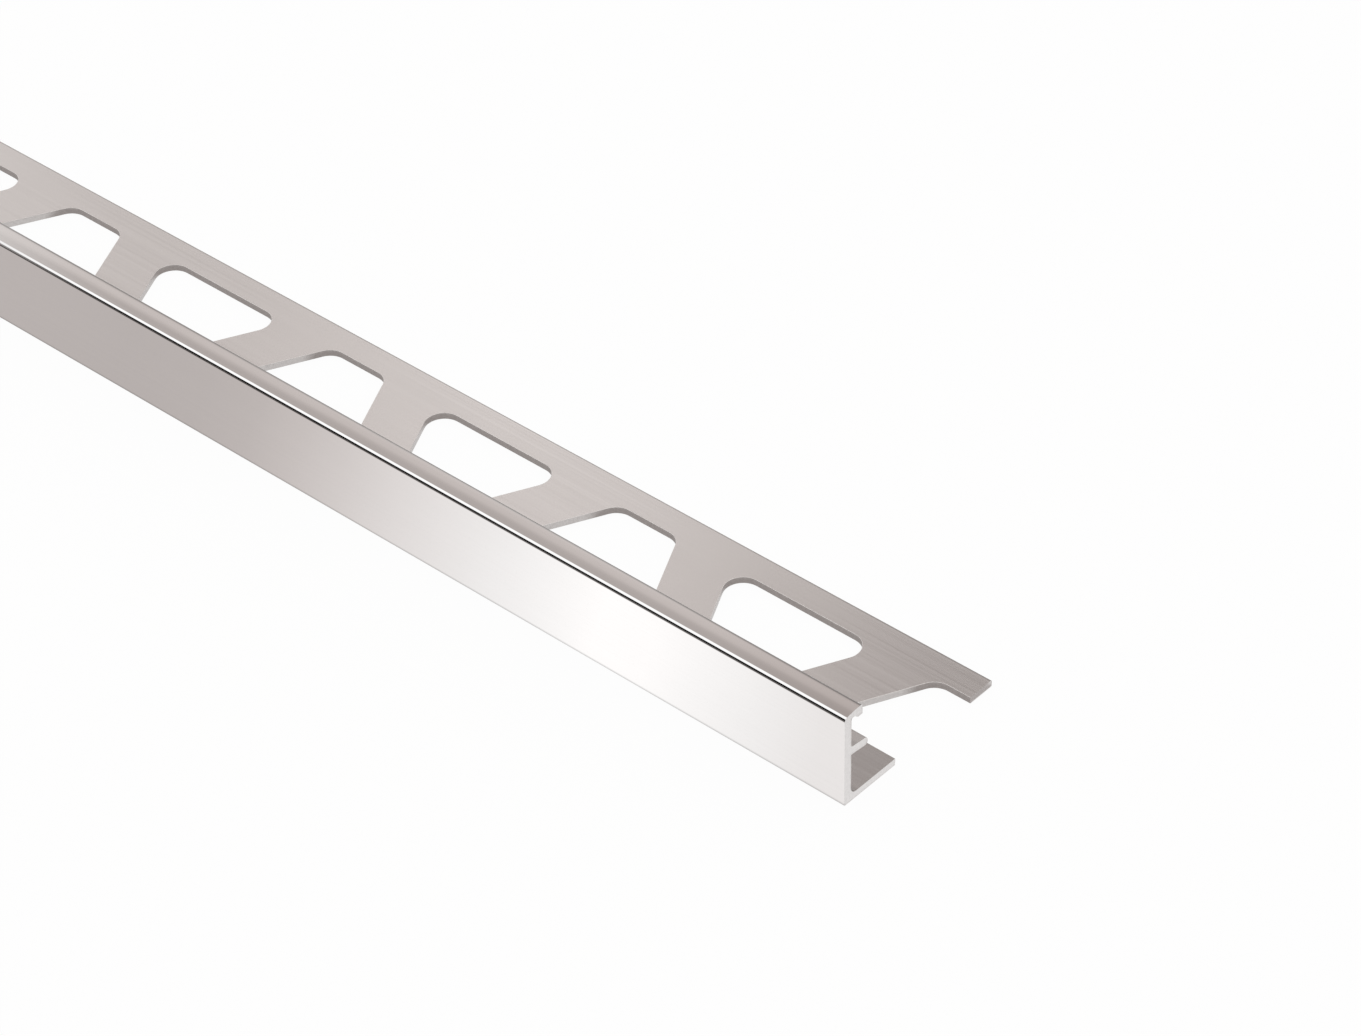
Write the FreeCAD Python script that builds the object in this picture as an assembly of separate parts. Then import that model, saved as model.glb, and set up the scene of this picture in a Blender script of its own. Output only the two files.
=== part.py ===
"""Tile edge trim: one stock length of extruded aluminium with a punched anchoring leg.

The frame of the part: X runs along the length, Y runs from the outer face of the wall
to the back edge of the leg, and Z runs up from the underside of the leg.
The origin is the bottom centre of the bounding box. All sizes are in millimetres.
"""
import FreeCAD
import Part
import math
import os

# Overall sizes
length = 1000.0
overall_height = 12.5
overall_width = 25.0

# Wall and leg
wall_thickness = 1.1
leg_thickness = 0.9
heel_round = 0.15
inner_corner_fillet = 0.9
leg_edge_round = 0.15

# Lip that covers the top edge of the tile, crowned along its top, with a nib under its back edge
lip_depth = 2.88
lip_thickness = 0.86
lip_front_drop = 0.28
lip_slope_depth = 1.6
lip_crown_radius = 11.0
lip_front_round = 0.5
lip_back_round = 0.3
lip_root_fillet = 0.3
nib_drop = 0.47
nib_width = 0.72
nib_slope_run = 0.54
nib_round = 0.12

# Spacer rib half way up the wall, tapered and drooping a little towards its rounded tip
rib_height = 7.13
rib_reach = 3.79
rib_droop = 0.32
rib_root_thickness = 1.08
rib_tip_thickness = 1.03
rib_tip_round = 0.48
rib_root_fillet = 0.2

# Punched anchoring holes: rounded trapezoids, every second one turned half round
hole_pitch = 23.4
hole_long_side = 21.8
hole_short_side = 9.0
hole_corner_radius = 2.3
wall_strip_width = 8.47
back_strip_width = 3.74

# How far the punch runs past both faces of the leg, and how much of a side its two fillets may take
punch_clearance = 1.0
fillet_room = 0.98


def rounded_wire(corners):
    """A closed wire through the corners, given as (point, radius), with tangent arcs at the corners.

    Where two radii ask for more than the side between them, both are reduced to fit.
    """
    count = len(corners)
    points = [point for point, radius in corners]
    half_angles = []
    tangents = []
    for index, (point, radius) in enumerate(corners):
        before = points[index - 1] - point
        after = points[(index + 1) % count] - point
        half_angles.append(before.getAngle(after) / 2)
        tangents.append(radius / math.tan(half_angles[index]))

    fits = []
    for index in range(count):
        side = (points[index] - points[index - 1]).Length
        fits.append(min(1.0, fillet_room * side / (tangents[index - 1] + tangents[index])))

    arcs = []
    for index, point in enumerate(points):
        after_index = (index + 1) % count
        tangent = tangents[index] * min(fits[index], fits[after_index])
        radius = tangent * math.tan(half_angles[index])
        before = (points[index - 1] - point).normalize()
        after = (points[after_index] - point).normalize()
        inward = (before + after).normalize()
        depth = radius / math.sin(half_angles[index]) - radius
        arcs.append((point + before * tangent, point + inward * depth, point + after * tangent))

    edges = []
    for index, (start, middle, end) in enumerate(arcs):
        edges.append(Part.LineSegment(arcs[index - 1][2], start).toShape())
        edges.append(Part.Arc(start, middle, end).toShape())
    return Part.Wire(edges)


def section_corners():
    """The corners of the section, anticlockwise from the heel, measured from the outer wall face."""
    rib_tip_height = rib_height - rib_droop
    lip_underside = overall_height - lip_thickness
    nib_bottom = lip_underside - nib_drop
    nib_front = lip_depth - nib_width

    wall_and_leg = [
        (0, 0, heel_round),
        (overall_width, 0, leg_edge_round),
        (overall_width, leg_thickness, leg_edge_round),
        (wall_thickness, leg_thickness, inner_corner_fillet),
    ]
    rib = [
        (wall_thickness, rib_height - rib_root_thickness / 2, rib_root_fillet),
        (rib_reach, rib_tip_height - rib_tip_thickness / 2, rib_tip_round),
        (rib_reach, rib_tip_height + rib_tip_thickness / 2, rib_tip_round),
        (wall_thickness, rib_height + rib_root_thickness / 2, rib_root_fillet),
    ]
    lip = [
        (wall_thickness, lip_underside, lip_root_fillet),
        (nib_front - nib_slope_run, lip_underside, nib_round),
        (nib_front, nib_bottom, nib_round),
        (lip_depth, nib_bottom, nib_round),
        (lip_depth, overall_height, lip_back_round),
        (lip_slope_depth, overall_height, lip_crown_radius),
        (0, overall_height - lip_front_drop, lip_front_round),
    ]
    return wall_and_leg + rib + lip


def extrusion():
    """The plain extruded length, before punching."""
    corners = []
    for depth, height, radius in section_corners():
        point = FreeCAD.Vector(-length / 2, depth - overall_width / 2, height)
        corners.append((point, radius))
    section = Part.Face(rounded_wire(corners))
    return section.extrude(FreeCAD.Vector(length, 0, 0))


def punch():
    """The punch for one hole, centred on X = 0, with its long side towards the back edge."""
    near_side = wall_strip_width - overall_width / 2
    far_side = overall_width / 2 - back_strip_width
    outline = [
        (-hole_short_side / 2, near_side),
        (hole_short_side / 2, near_side),
        (hole_long_side / 2, far_side),
        (-hole_long_side / 2, far_side),
    ]
    corners = []
    for along, across in outline:
        corners.append((FreeCAD.Vector(along, across, -punch_clearance), hole_corner_radius))
    depth = leg_thickness + 2 * punch_clearance
    return Part.Face(rounded_wire(corners)).extrude(FreeCAD.Vector(0, 0, depth))


def punches():
    """One punch for each hole, from a hole that the +X end cuts through its middle."""
    hole_middle = FreeCAD.Vector(0, (wall_strip_width - back_strip_width) / 2, 0)
    up = FreeCAD.Vector(0, 0, 1)
    upright = punch()
    turned = punch().rotate(hole_middle, up, 180)
    count = math.floor((length + hole_long_side / 2) / hole_pitch) + 1
    tools = []
    for index in range(count):
        tool = turned if index % 2 == 0 else upright
        tools.append(tool.translated(FreeCAD.Vector(length / 2 - index * hole_pitch, 0, 0)))
    return tools


def edge_trim_profile():
    """The finished trim: the extruded length with its leg punched."""
    return extrusion().cut(punches())


os.makedirs("parts", exist_ok=True)
trim = edge_trim_profile()
trim.exportStep("parts/edge_trim_profile.step")
print("edge_trim_profile", trim.isValid(), len(trim.Solids), round(trim.Volume, 1), trim.BoundBox)
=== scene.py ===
import bmesh
import bpy
import math
from mathutils import Matrix, Vector


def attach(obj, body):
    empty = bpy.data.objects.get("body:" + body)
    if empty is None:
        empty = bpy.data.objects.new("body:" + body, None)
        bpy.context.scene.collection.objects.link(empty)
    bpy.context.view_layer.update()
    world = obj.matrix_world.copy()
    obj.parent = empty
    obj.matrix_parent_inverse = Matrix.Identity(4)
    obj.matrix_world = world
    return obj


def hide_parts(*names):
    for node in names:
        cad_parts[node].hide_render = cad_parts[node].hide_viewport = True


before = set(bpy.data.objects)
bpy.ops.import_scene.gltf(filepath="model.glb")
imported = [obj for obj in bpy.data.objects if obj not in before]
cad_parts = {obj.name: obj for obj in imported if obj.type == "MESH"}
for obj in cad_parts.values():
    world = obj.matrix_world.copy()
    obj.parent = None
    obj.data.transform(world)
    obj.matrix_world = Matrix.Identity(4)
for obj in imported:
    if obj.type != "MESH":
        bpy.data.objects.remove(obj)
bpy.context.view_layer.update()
mm = 0.001
scene = bpy.context.scene
scene.view_settings.view_transform = "Standard"


# The camera stands above the near end and looks back along the trim.
# It is where the straight edges, the holes and the cut end put it.
camera_place = Vector((699.071, -253.255, 293.113)) * mm
camera_turn = math.radians(42.6015)
camera_dip = math.radians(39.0885)
camera_roll = math.radians(-1.5095)
camera_data = bpy.data.cameras.new("camera")
camera_data.sensor_width = 36.0
camera_data.lens = 107.23
camera_data.clip_start = 0.01
camera = bpy.data.objects.new("camera", camera_data)
scene.collection.objects.link(camera)
camera.matrix_world = (
    Matrix.Translation(camera_place)
    @ Matrix.Rotation(camera_turn, 4, "Z")
    @ Matrix.Rotation(math.pi / 2 - camera_dip, 4, "X")
    @ Matrix.Rotation(camera_roll, 4, "Z")
)
scene.camera = camera


# The trim is one length of extruded aluminium: a thin wall, a crowned lip with a nib under it,
# a spacer rib and a leg. The die gives every corner its small round.
# The section is drawn once and drawn out by one pitch of the punched holes.
length = 1000.0 * mm
height = 12.5 * mm
width = 25.0 * mm
wall = 1.1 * mm
leg = 0.9 * mm
hole_pitch = 23.4 * mm

heel_round = 0.15 * mm
leg_edge_round = 0.15 * mm
inner_corner_fillet = 0.9 * mm

lip_depth = 2.88 * mm
lip_thickness = 0.86 * mm
lip_front_drop = 0.28 * mm
lip_slope_depth = 1.6 * mm
lip_crown_radius = 11.0 * mm
lip_front_round = 0.5 * mm
lip_back_round = 0.3 * mm
lip_root_fillet = 0.3 * mm
nib_drop = 0.47 * mm
nib_width = 0.72 * mm
nib_slope_run = 0.54 * mm
nib_round = 0.12 * mm

rib_height = 7.13 * mm
rib_reach = 3.79 * mm
rib_droop = 0.32 * mm
rib_root_thickness = 1.08 * mm
rib_tip_thickness = 1.03 * mm
rib_tip_round = 0.48 * mm
rib_root_fillet = 0.2 * mm

along = Vector((1, 0, 0))
up = Vector((0, 0, 1))


def round_corners(bm, corners, axis):
    """One arc of vertices for each corner, given as (point, radius, steps), turning about axis."""
    arcs = []
    for index, (point, radius, steps) in enumerate(corners):
        before = (corners[index - 1][0] - point).normalized()
        after = (corners[(index + 1) % len(corners)][0] - point).normalized()
        half_angle = before.angle(after) / 2
        centre = point + (before + after).normalized() * (radius / math.sin(half_angle))
        turn = math.copysign(math.pi - 2 * half_angle, axis.dot(after.cross(before)))
        first = bm.verts.new(point + before * (radius / math.tan(half_angle)))
        spun = bmesh.ops.spin(bm, geom=[first], cent=centre, axis=axis, angle=turn, steps=steps)
        arcs.append((first, spun["geom_last"][0]))
    return arcs


def close_outline(bm, arcs, open_sides=()):
    """Straight edges from each arc to the next, apart from the sides that stay open."""
    for index, (first, last) in enumerate(arcs):
        if index not in open_sides:
            bm.edges.new((last, arcs[(index + 1) % len(arcs)][0]))


rib_tip_height = rib_height - rib_droop
lip_underside = height - lip_thickness
nib_bottom = lip_underside - nib_drop
nib_front = lip_depth - nib_width
section_corners = [
    (0, 0, heel_round, 5),
    (width, 0, leg_edge_round, 5),
    (width, leg, leg_edge_round, 5),
    (wall, leg, inner_corner_fillet, 12),
    (wall, rib_height - rib_root_thickness / 2, rib_root_fillet, 5),
    (rib_reach, rib_tip_height - rib_tip_thickness / 2, rib_tip_round, 9),
    (rib_reach, rib_tip_height + rib_tip_thickness / 2, rib_tip_round, 9),
    (wall, rib_height + rib_root_thickness / 2, rib_root_fillet, 5),
    (wall, lip_underside, lip_root_fillet, 6),
    (nib_front - nib_slope_run, lip_underside, nib_round, 3),
    (nib_front, nib_bottom, nib_round, 3),
    (lip_depth, nib_bottom, nib_round, 5),
    (lip_depth, height, lip_back_round, 8),
    (lip_slope_depth, height, lip_crown_radius, 10),
    (0, height - lip_front_drop, lip_front_round, 16),
]
leg_underside, leg_top = 0, 2
corners = []
for depth, rise, radius, steps in section_corners:
    corners.append((Vector((0, depth - width / 2, rise)), radius, steps))

bm = bmesh.new()
section_arcs = round_corners(bm, corners, along)
close_outline(bm, section_arcs, (leg_underside, leg_top))
for cell in range(2):
    plane = cell * hole_pitch
    start = [edge for edge in bm.edges if all(abs(vert.co.x - plane) < 1e-7 for vert in edge.verts)]
    drawn = bmesh.ops.extrude_edge_only(bm, edges=start)
    moved = [item for item in drawn["geom"] if isinstance(item, bmesh.types.BMVert)]
    bmesh.ops.translate(bm, verts=moved, vec=along * hole_pitch)


# The leg is punched with rounded trapezoids, every second one turned half round.
# Each hole has the rolled-over rim, the sheared band and the rougher break that a punch leaves.
# Two cells, one with each hole, are the unit that repeats along the trim.
hole_long_side = 21.8 * mm
hole_short_side = 9.0 * mm
hole_corner_radius = 2.3 * mm
wall_strip_width = 8.47 * mm
back_strip_width = 3.74 * mm
rollover_width = 0.05 * mm
rollover_depth = 0.035 * mm
rollover_steps = 4
sheared_depth = 0.4 * mm
break_step = 0.012 * mm
break_taper = 0.05 * mm
hole_corner_steps = 12

leg_front = wall + inner_corner_fillet - width / 2
leg_back = width / 2 - leg_edge_round
underside_front = heel_round - width / 2
hole_middle = (wall_strip_width - back_strip_width) / 2
hole_half_width = (width - wall_strip_width - back_strip_width) / 2

hole_rings = []
for step in range(rollover_steps + 1):
    tilt = math.radians(90 * step / rollover_steps)
    widen = rollover_width * (1 - math.sin(tilt))
    hole_rings.append((widen, rollover_depth * (1 - math.cos(tilt))))
hole_rings.append((0, sheared_depth))
hole_rings.append((break_step, sheared_depth + 2 * break_step))
hole_rings.append((break_taper, leg))

punched_faces = []
for cell in range(2):
    centre = Vector(((cell + 0.5) * hole_pitch, hole_middle, 0))
    facing = 1 if cell == 0 else -1
    outline = [
        (-hole_short_side / 2, -hole_half_width),
        (hole_short_side / 2, -hole_half_width),
        (hole_long_side / 2, hole_half_width),
        (-hole_long_side / 2, hole_half_width),
    ]
    rings = []
    for widen, depth in hole_rings:
        points = [centre + Vector((x, y, 0)) * facing + up * (leg - depth) for x, y in outline]
        corners = []
        for index, point in enumerate(points):
            before = (points[index - 1] - point).normalized()
            after = (points[(index + 1) % 4] - point).normalized()
            outward = -(before + after).normalized() / math.sin(before.angle(after) / 2)
            corners.append((point + outward * widen, hole_corner_radius + widen, hole_corner_steps))
        old_edges = set(bm.edges)
        close_outline(bm, round_corners(bm, corners, up))
        rings.append([edge for edge in bm.edges if edge not in old_edges])
    for index in range(len(rings) - 1):
        bridged = bmesh.ops.bridge_loops(bm, edges=rings[index] + rings[index + 1])["faces"]
        if index >= rollover_steps - 1:
            punched_faces += bridged
    for ring, front, level in ((rings[0], leg_front, leg), (rings[-1], underside_front, 0)):
        rectangle = [
            bm.verts.new((cell * hole_pitch, front, level)),
            bm.verts.new(((cell + 1) * hole_pitch, front, level)),
            bm.verts.new(((cell + 1) * hole_pitch, leg_back, level)),
            bm.verts.new((cell * hole_pitch, leg_back, level)),
        ]
        border = [bm.edges.new((rectangle[index - 1], rectangle[index])) for index in range(4)]
        bmesh.ops.triangle_fill(bm, use_beauty=True, edges=border + ring, normal=up)

polished, brushed, satin, punched, sawn = range(5)
for face in bm.faces:
    face.material_index = satin
for face in punched_faces:
    face.material_index = punched


def in_order(bm):
    """The same mesh with its edges and faces in one order, because the fills leave them in any order."""
    bm.verts.index_update()
    outlines = []
    for face in bm.faces:
        indices = [vert.index for vert in face.verts]
        first = indices.index(min(indices))
        outlines.append((indices[first:] + indices[:first], face.material_index))
    ordered = bmesh.new()
    verts = [ordered.verts.new(vert.co) for vert in bm.verts]
    for indices, material in sorted(outlines):
        ordered.faces.new([verts[index] for index in indices]).material_index = material
    bm.free()
    return ordered


bm = in_order(bm)


# The unit is repeated, and the length is sawn square at both ends, each time through a hole.
# The saw leaves a very small break along the edges of each cut.
# The wall's outer face is the polished one, and the lip's top is the brushed one.
units = 22
saw_break = 0.04 * mm
merge_distance = 0.001 * mm
cut_tolerance = 0.0001 * mm
lip_top_depth = 0.2 * mm
least_outward = 0.2
least_level = 0.9999
sharp_angle = math.radians(40)

unit = bm.verts[:] + bm.edges[:] + bm.faces[:]
for repeat in range(1, units):
    copied = bmesh.ops.duplicate(bm, geom=unit)["geom"]
    verts = [item for item in copied if isinstance(item, bmesh.types.BMVert)]
    bmesh.ops.translate(bm, verts=verts, vec=-along * repeat * 2 * hole_pitch)
bmesh.ops.translate(bm, verts=bm.verts, vec=along * (length / 2 - 1.5 * hole_pitch))
bmesh.ops.remove_doubles(bm, verts=bm.verts, dist=merge_distance)

for end in (along, -along):
    everything = bm.verts[:] + bm.edges[:] + bm.faces[:]
    cut = bmesh.ops.bisect_plane(
        bm, geom=everything, dist=cut_tolerance, plane_co=end * length / 2, plane_no=end, clear_outer=True
    )
    rims = [item for item in cut["geom_cut"] if isinstance(item, bmesh.types.BMEdge)]
    ends = bmesh.ops.holes_fill(bm, edges=rims, sides=0)["faces"]
    for face in ends:
        face.material_index = sawn
    outer = {vert for edge in rims for vert in edge.verts}
    bmesh.ops.inset_region(bm, faces=ends, thickness=saw_break, depth=0, use_even_offset=True)
    bmesh.ops.translate(bm, verts=list(outer), vec=-end * saw_break)
bmesh.ops.recalc_face_normals(bm, faces=bm.faces)

wall_front = lip_front_round - width / 2
lip_top = height - lip_front_drop - lip_top_depth
leg_top_limit = leg + 0.01 * mm
leg_faces = set()
for face in bm.faces:
    face.smooth = True
    middle = face.calc_center_median()
    if face.material_index == satin and face.normal.y < -least_outward and middle.y < wall_front:
        face.material_index = polished
    if face.material_index == satin and middle.z > lip_top:
        face.material_index = brushed
    if abs(face.normal.z) > least_level and middle.z < leg_top_limit:
        leg_faces.add(face)
for edge in bm.edges:
    meeting = {face in leg_faces for face in edge.link_faces}
    edge.smooth = len(meeting) == 1 and edge.calc_face_angle(0) < sharp_angle

mesh = bpy.data.meshes.new("tile_edge_trim")
bm.to_mesh(mesh)
bm.free()
trim = bpy.data.objects.new("tile_edge_trim", mesh)
scene.collection.objects.link(trim)
weighted = trim.modifiers.new("flat_faces_stay_flat", "WEIGHTED_NORMAL")
weighted.keep_sharp = True


# The metal is bright aluminium, and the die draws fine lines along every extruded face.
# The wall is then polished, the lip is brushed, and the leg and inner faces stay satin.
# The punch leaves lines down each hole's edge, and the saw leaves slanted lines across the cut ends.
def node(tree, kind, inputs, **settings):
    """A shader node with its settings. The inputs are values, or sockets to link."""
    made = tree.nodes.new("ShaderNode" + kind)
    for name, value in settings.items():
        setattr(made, name, value)
    for name, value in inputs.items():
        if isinstance(value, bpy.types.NodeSocket):
            tree.links.new(value, made.inputs[name])
        else:
            made.inputs[name].default_value = value
    return made


def maths(tree, operation, *values):
    """The result of a Math node."""
    return node(tree, "Math", dict(enumerate(values)), operation=operation).outputs[0]


def product(tree, first, second):
    """Two colours multiplied."""
    return node(tree, "VectorMath", {0: first, 1: second}, operation="MULTIPLY").outputs[0]


def remap(tree, value, lowest, highest, first=0.0, last=1.0):
    """A value between lowest and highest, moved to its place between first and last."""
    inputs = {"Value": value, "From Min": lowest, "From Max": highest, "To Min": first, "To Max": last}
    return node(tree, "MapRange", inputs).outputs[0]


def ramp(tree, value, lowest, highest, stops):
    """A colour ramp over a value, with its stops at places between lowest and highest."""
    made = node(tree, "ValToRGB", {0: remap(tree, value, lowest, highest)})
    elements = made.color_ramp.elements
    elements.remove(elements[0])
    for index, (place, color) in enumerate(stops):
        position = (place - lowest) / (highest - lowest)
        element = elements.new(position) if index else elements[0]
        element.position = position
        element.color = (*color, 1)
    return made.outputs[0]


marks = bpy.data.node_groups.new("tool_marks", "ShaderNodeTree")
marks.interface.new_socket("Place", in_out="INPUT", socket_type="NodeSocketVector")
for name in ("Along", "Across", "Cloud"):
    marks.interface.new_socket(name, in_out="INPUT", socket_type="NodeSocketFloat")
for name in ("Lines", "Clouds"):
    marks.interface.new_socket(name, in_out="OUTPUT", socket_type="NodeSocketFloat")
given = marks.nodes.new("NodeGroupInput").outputs
result = marks.nodes.new("NodeGroupOutput")
stretch = node(marks, "CombineXYZ", {0: given["Along"], 1: given["Across"], 2: given["Across"]})
drawn_out = product(marks, given["Place"], stretch.outputs[0])
lines = node(marks, "TexNoise", {"Vector": drawn_out, "Scale": 1.0, "Detail": 3.0, "Roughness": 0.6})
clouds = node(
    marks, "TexNoise", {"Vector": given["Place"], "Scale": given["Cloud"], "Detail": 4.0, "Roughness": 0.55}
)
marks.links.new(lines.outputs[0], result.inputs["Lines"])
marks.links.new(clouds.outputs[0], result.inputs["Clouds"])


def along_the_trim(tree):
    return node(tree, "TexCoord", {}).outputs["Object"]


def through_the_leg(tree):
    split = node(tree, "SeparateXYZ", {0: along_the_trim(tree)}).outputs
    return node(tree, "CombineXYZ", {0: split[2], 1: split[0], 2: split[1]}).outputs[0]


def across_the_cut(tree):
    turned = node(tree, "Mapping", {"Vector": along_the_trim(tree)})
    turned.inputs["Rotation"].default_value = (math.radians(32), 0, 0)
    split = node(tree, "SeparateXYZ", {0: turned.outputs[0]}).outputs
    return node(tree, "CombineXYZ", {0: split[1], 1: split[2], 2: split[0]}).outputs[0]


def finish(name, place, lines, clouds, colors, roughness, relief, painted_shade=()):
    """A metal finish. Lines and clouds are how many there are in a metre, the lines along and across.

    Painted shade is the share of brightness left in the base colour at each distance in mm from the wall's
    outer face.
    """
    made = bpy.data.materials.new(name)
    made.use_nodes = True
    tree = made.node_tree
    shader = tree.nodes["Principled BSDF"]
    shader.inputs["Metallic"].default_value = 1
    pattern = node(tree, "Group", {}, node_tree=marks)
    tree.links.new(place(tree), pattern.inputs["Place"])
    pattern.inputs["Along"].default_value, pattern.inputs["Across"].default_value = lines
    pattern.inputs["Cloud"].default_value = clouds
    marking = pattern.outputs["Lines"]
    mixed = remap(tree, maths(tree, "ADD", marking, pattern.outputs["Clouds"]), 0.7, 1.3)
    dark, bright = colors
    color = node(tree, "MixRGB", {0: mixed, 1: (*dark, 1), 2: (*bright, 1)}).outputs[0]
    # The colour is darkened across the trim by the shares of painted shade.
    if painted_shade:
        depth = node(tree, "SeparateXYZ", {0: along_the_trim(tree)}).outputs[1]
        stops = [(distance * mm - width / 2, (left, left, left)) for distance, left in painted_shade]
        color = product(tree, color, ramp(tree, depth, -width / 2, width / 2, stops))
    smooth, rough = roughness
    bump = node(tree, "Bump", {"Height": marking, "Strength": relief, "Distance": 0.01 * mm})
    tree.links.new(color, shader.inputs["Base Color"])
    tree.links.new(remap(tree, marking, 0.3, 0.7, smooth, rough), shader.inputs["Roughness"])
    tree.links.new(bump.outputs[0], shader.inputs["Normal"])
    mesh.materials.append(made)


finish(
    "polished_face", along_the_trim, lines=(12, 2500), clouds=60, relief=0.01,
    colors=((0.79, 0.785, 0.783), (0.81, 0.805, 0.803)), roughness=(0.03, 0.05),
)
# The lip's colour is painted darker over its back round and back face: painted shade.
finish(
    "brushed_lip", along_the_trim, lines=(12, 4000), clouds=60, relief=0.02,
    colors=((0.77, 0.755, 0.745), (0.80, 0.785, 0.775)), roughness=(0.06, 0.1),
    painted_shade=[(2.42, 1.0), (2.56, 0.55), (2.9, 0.4)],
)
# The satin colour is painted darker from the wall's inner face out to 11 mm, under the rib, and along the
# leg's back edge: painted shade where the wall, rib and edge round would shade it.
finish(
    "satin_leg", along_the_trim, lines=(12, 2500), clouds=90, relief=0.012,
    colors=((0.745, 0.72, 0.705), (0.77, 0.745, 0.73)), roughness=(0.2, 0.26),
    painted_shade=[
        (1.2, 0.9), (1.5, 0.65), (1.9, 0.65), (2.3, 0.76), (8, 0.76), (11, 1.0),
        (24.7, 1.0), (24.8, 0.7), (25, 0.6),
    ],
)
finish(
    "punched_edge", through_the_leg, lines=(500, 12000), clouds=3000, relief=0.5,
    colors=((0.5, 0.48, 0.47), (0.62, 0.6, 0.59)), roughness=(0.35, 0.5),
)
finish(
    "sawn_end", across_the_cut, lines=(300, 14000), clouds=2500, relief=0.4,
    colors=((0.70, 0.69, 0.685), (0.78, 0.77, 0.765)), roughness=(0.3, 0.45),
)

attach(trim, "root")
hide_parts("edge_trim_profile")


# The trim lies on a plain white floor. The metal mirrors the floor, so its brightness is set there:
# a soft pool of light before the near end, darker further off, and shade in the holes and at the heel.
floor_half_size = 60
floor_drop = 0.05 * mm
pool_slant = 0.6
heel_shade_width = 0.4 * mm
heel_shade = 0.45
white_share = 0.95
warm = (1.075, 1.0, 0.975)


def light(tree, value, lowest, highest, stops):
    """Light levels over a value, warm where they are dim and neutral where they are bright."""
    colored = []
    for place, level in stops:
        fade = min(1.0, max(0.0, (level - 0.6) / 0.5))
        colored.append((place, [level * (tint + (1 - tint) * fade) for tint in warm]))
    return ramp(tree, value, lowest, highest, colored)


floor_mesh = bpy.data.meshes.new("floor")
bm = bmesh.new()
bmesh.ops.create_grid(bm, x_segments=1, y_segments=1, size=floor_half_size)
bmesh.ops.translate(bm, verts=bm.verts, vec=-up * floor_drop)
bm.to_mesh(floor_mesh)
bm.free()
floor = bpy.data.objects.new("floor", floor_mesh)
scene.collection.objects.link(floor)

white = bpy.data.materials.new("white_table")
white.use_nodes = True
tree = white.node_tree
tree.nodes.clear()
place = node(tree, "SeparateXYZ", {0: along_the_trim(tree)}).outputs
in_front = maths(tree, "MULTIPLY_ADD", place[1], -1.0, -width / 2)
slanted = maths(tree, "MULTIPLY_ADD", in_front, pool_slant, place[0])
pool = light(tree, slanted, 0.25, 0.53, [
    (0.25, 0.75), (0.34, 0.56), (0.385, 0.53), (0.399, 0.54), (0.407, 0.57), (0.415, 0.65),
    (0.423, 0.75), (0.431, 0.87), (0.439, 0.97), (0.447, 1.07), (0.455, 1.16), (0.463, 1.27),
    (0.471, 1.25), (0.479, 1.17), (0.487, 1.09), (0.495, 1.0), (0.53, 0.92),
])
near_floor = light(tree, in_front, 0.0, 0.4, [
    (0.0, 1.0), (0.0113, 1.0), (0.014, 0.5), (0.019, 0.2),
    (0.028, 0.07), (0.06, 0.03), (0.12, 0.03), (0.4, 0.3),
])
open_floor = light(tree, in_front, 0.0, 0.4, [(0.0, 1.0), (0.0113, 1.0), (0.03, 0.8), (0.4, 0.75)])
beneath = light(tree, in_front, -0.05, 0.0, [
    (-0.05, 0.9), (-0.0254, 0.9), (-0.025, 0.5), (-0.019, 0.5), (-0.0175, 1.0), (0.0, 1.0),
])
near_end = remap(tree, slanted, 0.1, 0.33)
fading = node(tree, "MixRGB", {0: near_end, 1: open_floor, 2: near_floor}).outputs[0]
ahead = maths(tree, "GREATER_THAN", in_front, 0.0)
lit = node(tree, "MixRGB", {0: ahead, 1: beneath, 2: product(tree, pool, fading)}).outputs[0]
contact = remap(tree, maths(tree, "ABSOLUTE", in_front), 0.0, heel_shade_width, heel_shade)
shaded = node(tree, "VectorMath", {0: lit, "Scale": contact}, operation="SCALE").outputs[0]
path = node(tree, "LightPath", {}).outputs
seen = node(tree, "MixRGB", {0: path["Is Camera Ray"], 1: shaded, 2: (1, 1, 1, 1)}).outputs[0]
glow = node(tree, "Emission", {"Color": seen}).outputs[0]
paint = node(tree, "BsdfDiffuse", {"Color": (0.9, 0.9, 0.9, 1)}).outputs[0]
shown = maths(tree, "MAXIMUM", path["Is Camera Ray"], path["Is Glossy Ray"])
surface = node(tree, "MixShader", {0: maths(tree, "MULTIPLY", shown, white_share), 1: paint, 2: glow})
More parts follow.
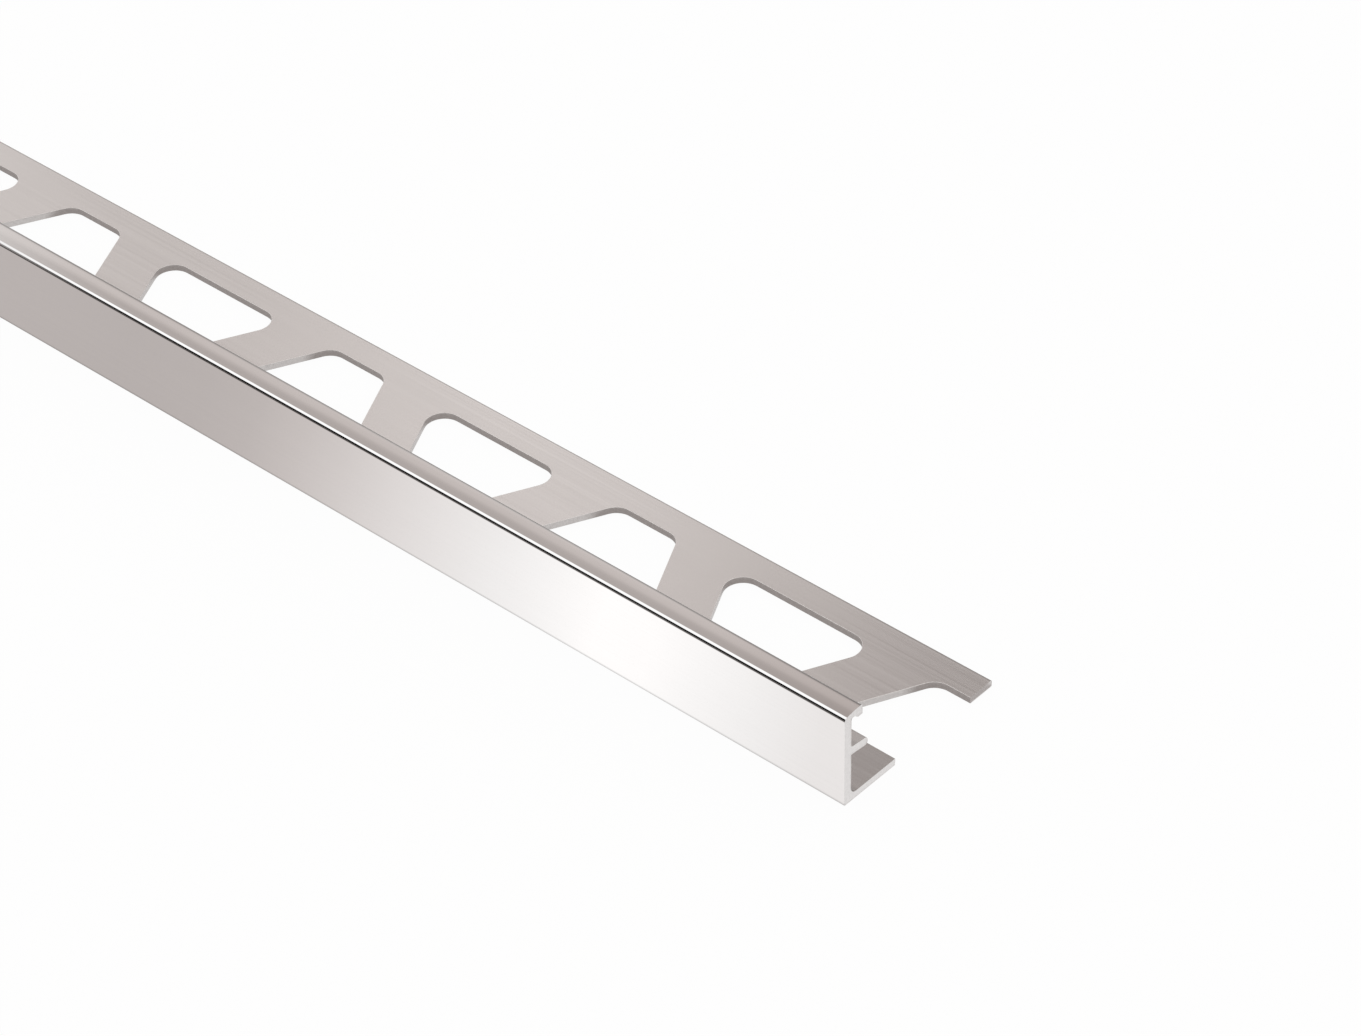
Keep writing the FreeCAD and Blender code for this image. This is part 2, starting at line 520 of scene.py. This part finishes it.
node(tree, "OutputMaterial", {0: surface.outputs[0]})
floor_mesh.materials.append(white)


# Soft boxes stand round the trim. Each is a band of the sky, in degrees from the front over the top.
# Seen from the camera they leave a dark gap low in front, which draws the dark line along the lip.
# Seen from other sides the sky is plain.
world = bpy.data.worlds.new("studio")
scene.world = world
world.use_nodes = True
tree = world.node_tree
direction = node(tree, "SeparateXYZ", {0: node(tree, "TexCoord", {}).outputs["Generated"]}).outputs
forward = maths(tree, "MULTIPLY", direction[1], -1.0)
over = maths(tree, "DEGREES", maths(tree, "ARCTAN2", direction[2], forward))
front_box = light(tree, over, 0, 180, [(36, 0.0), (40, 1.25), (95, 1.25), (104, 0.0)])
top_box = light(tree, over, 0, 180, [
    (95, 0.0), (104, 0.48), (115, 0.5), (121, 0.63), (129, 0.65), (132.5, 0.0),
])
back_box = light(tree, over, 0, 180, [(129, 0.0), (132.5, 1.0), (138, 1.0), (142, 0.0)])
low_wall = light(tree, over, 0, 180, [(138, 0.0), (142, 0.75), (150, 0.7), (158, 0.4), (180, 0.4)])
top_spread = light(tree, direction[0], -1, 0, [(-0.51, 1.0), (-0.475, 0.82), (-0.4, 0.7)])
back_spread = light(tree, direction[0], -1, 0, [
    (-0.8, 0.3), (-0.66, 0.2), (-0.63, 0.4), (-0.6, 1.0), (-0.575, 1.25),
    (-0.54, 1.2), (-0.51, 0.7), (-0.48, 0.15), (-0.44, 0.05),
])
studio = low_wall
for box in (front_box, product(tree, top_box, top_spread), product(tree, back_box, back_spread)):
    studio = node(tree, "VectorMath", {0: studio, 1: box}, operation="ADD").outputs[0]
plain = light(tree, over, 0, 180, [
    (0, 0.7), (30, 0.8), (60, 0.95), (120, 0.95), (150, 0.85), (180, 0.7),
])
camera_side = light(tree, direction[0], -1, 0, [(-0.69, 0.0), (-0.65, 1.0), (-0.4, 1.0), (-0.28, 0.0)])
sky = node(tree, "MixRGB", {0: camera_side, 1: plain, 2: studio}).outputs[0]
tree.links.new(sky, tree.nodes["Background"].inputs[0])
